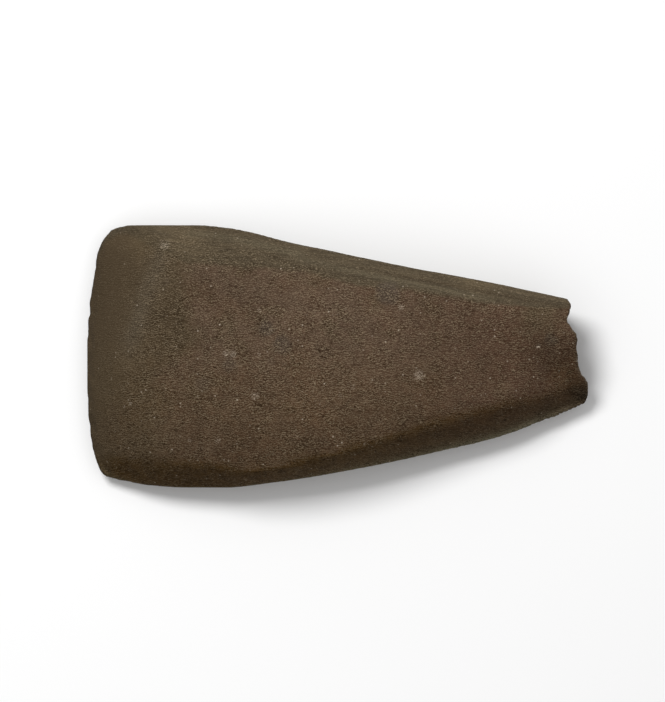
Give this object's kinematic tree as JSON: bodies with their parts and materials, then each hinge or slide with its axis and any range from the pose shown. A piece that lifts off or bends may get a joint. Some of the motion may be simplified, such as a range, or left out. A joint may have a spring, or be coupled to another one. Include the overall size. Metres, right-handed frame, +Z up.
{
  "type": "stone adze",
  "caption": "Ground stone adze head with a bevelled cutting edge and a tapering tang broken off at the butt, lying flat.",
  "frame": {"origin": "centre of the bounding box's underside, on the surface that the stone lies on", "axes": "+X from the cutting edge along the blade to the broken butt, +Y across the blade, +Z up through its thickness, with the bevelled back uppermost"},
  "size_m": [0.15, 0.0785, 0.0287],
  "materials": {
    "ground_basalt": "dark brown basalt, finely pecked on the back, ground smoother on the bevel and the side facet, matt"
  },
  "bodies": {
    "root": {"adze_head": "ground_basalt"}
  },
  "joints": []
}
